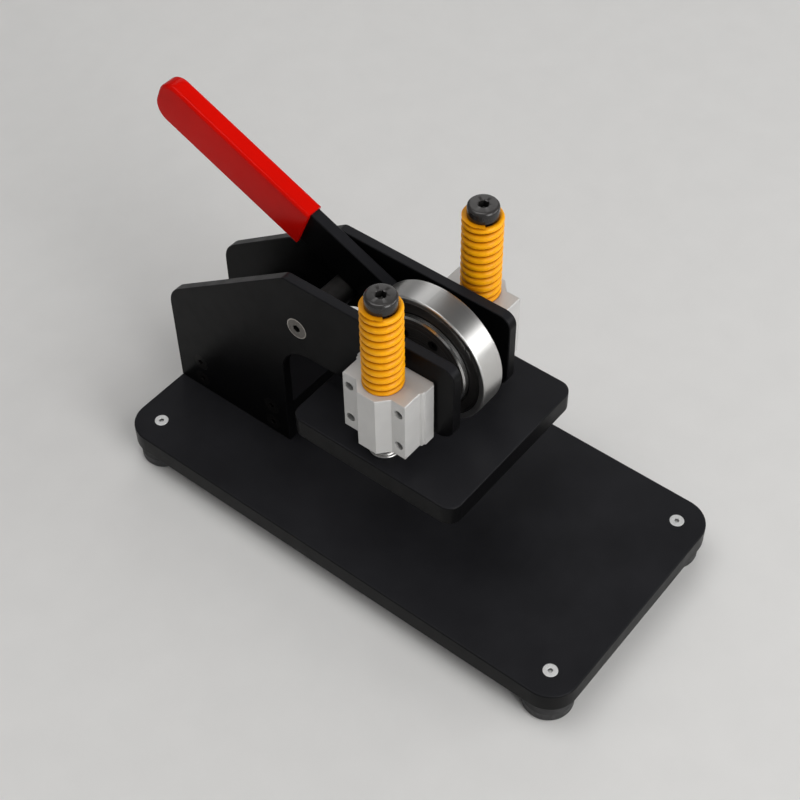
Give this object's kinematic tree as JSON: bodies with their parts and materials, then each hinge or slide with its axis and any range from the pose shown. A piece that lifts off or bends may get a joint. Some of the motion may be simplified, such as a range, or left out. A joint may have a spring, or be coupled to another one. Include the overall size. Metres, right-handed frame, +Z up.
{
  "type": "manual die cutting machine",
  "caption": "Bench press for hand cutting with block dies: a long lever turns an eccentric bearing that presses a sprung plate, guided by two posts, down on a flat base.",
  "frame": {"origin": "centre of the base plate's top face, where the work lies", "axes": "+X to the right, +Y to the rear, where the lever points at rest, +Z up"},
  "size_m": [0.18, 0.3907, 0.2471],
  "materials": {
    "coated_plate": "satin black coating",
    "bare_aluminium": "satin, as machined",
    "spring_paint": "glossy amber paint",
    "black_oxide": "black oxide",
    "ground_steel": "ground and polished",
    "turned_steel": "turned",
    "zinc_steel": "bright zinc",
    "seal_rubber": "matt",
    "foot_rubber": "matt",
    "grip_vinyl": "dipped, glossy",
    "bronze": "plain",
    "cage_polymer": "moulded"
  },
  "bodies": {
    "frame": {"base_plate": "coated_plate", "foot_front_left": "foot_rubber", "foot_front_right": "foot_rubber", "foot_rear_left": "foot_rubber", "foot_rear_right": "foot_rubber", "foot_screws": "zinc_steel", "foot_washers": "zinc_steel", "foot_nuts": "zinc_steel", "left_side_plate": "coated_plate", "right_side_plate": "coated_plate", "rear_foot_block": "coated_plate", "foot_block_screws": "black_oxide", "base_bolts": "black_oxide", "tie_rod": "turned_steel", "tie_rod_screws": "zinc_steel", "pivot_shaft": "ground_steel", "left_spacer": "turned_steel", "right_spacer": "turned_steel", "left_bearing_block": "bare_aluminium", "right_bearing_block": "bare_aluminium", "left_ball_bushing": "ground_steel", "right_ball_bushing": "ground_steel", "bushing_circlips": "black_oxide", "block_screws": "black_oxide", "left_spring": "spring_paint", "right_spring": "spring_paint"},
    "press": {"pressure_plate": "coated_plate", "left_guide_post": "black_oxide", "right_guide_post": "black_oxide", "left_post_collar": "turned_steel", "right_post_collar": "turned_steel"},
    "lever": {"lever_arm": "coated_plate", "lever_grip": "grip_vinyl", "eccentric_hub": "turned_steel", "keeper_flange": "turned_steel", "keeper_screws": "black_oxide", "hub_screws": "black_oxide", "left_pivot_bush": "bronze", "right_pivot_bush": "bronze", "bearing_inner_ring": "ground_steel"},
    "roller": {"bearing_outer_ring": "ground_steel", "left_bearing_seal": "seal_rubber", "right_bearing_seal": "seal_rubber"},
    "ball_train": {"bearing_cage": "cage_polymer", "bearing_balls": "ground_steel"}
  },
  "joints": [
    {"name": "lever_pivot", "type": "hinge", "parent": "frame", "child": "lever", "pos_m": [0, -0.01296, 0.1155], "axis": [1, 0, 0], "range_deg": [0, 120]},
    {"name": "press_slide", "type": "slide", "parent": "frame", "child": "press", "axis": [0, 0, -1], "range_m": [0, 0.0187], "stiffness_N_per_m": 12000, "springref_m": -0.004, "deforming": ["left_spring", "right_spring"]},
    {"name": "roller_spin", "type": "hinge", "parent": "lever", "child": "roller", "pos_m": [0, -0.0174, 0.12502], "axis": [1, 0, 0], "continuous": true},
    {"name": "ball_train_spin", "type": "hinge", "parent": "lever", "child": "ball_train", "pos_m": [0, -0.0174, 0.12502], "axis": [1, 0, 0], "continuous": true}
  ],
  "couplings": [
    {"joint": "press_slide", "follows": "lever_pivot", "m_per_rad": 0.008905},
    {"joint": "ball_train_spin", "follows": "roller_spin", "ratio": 0.58}
  ]
}
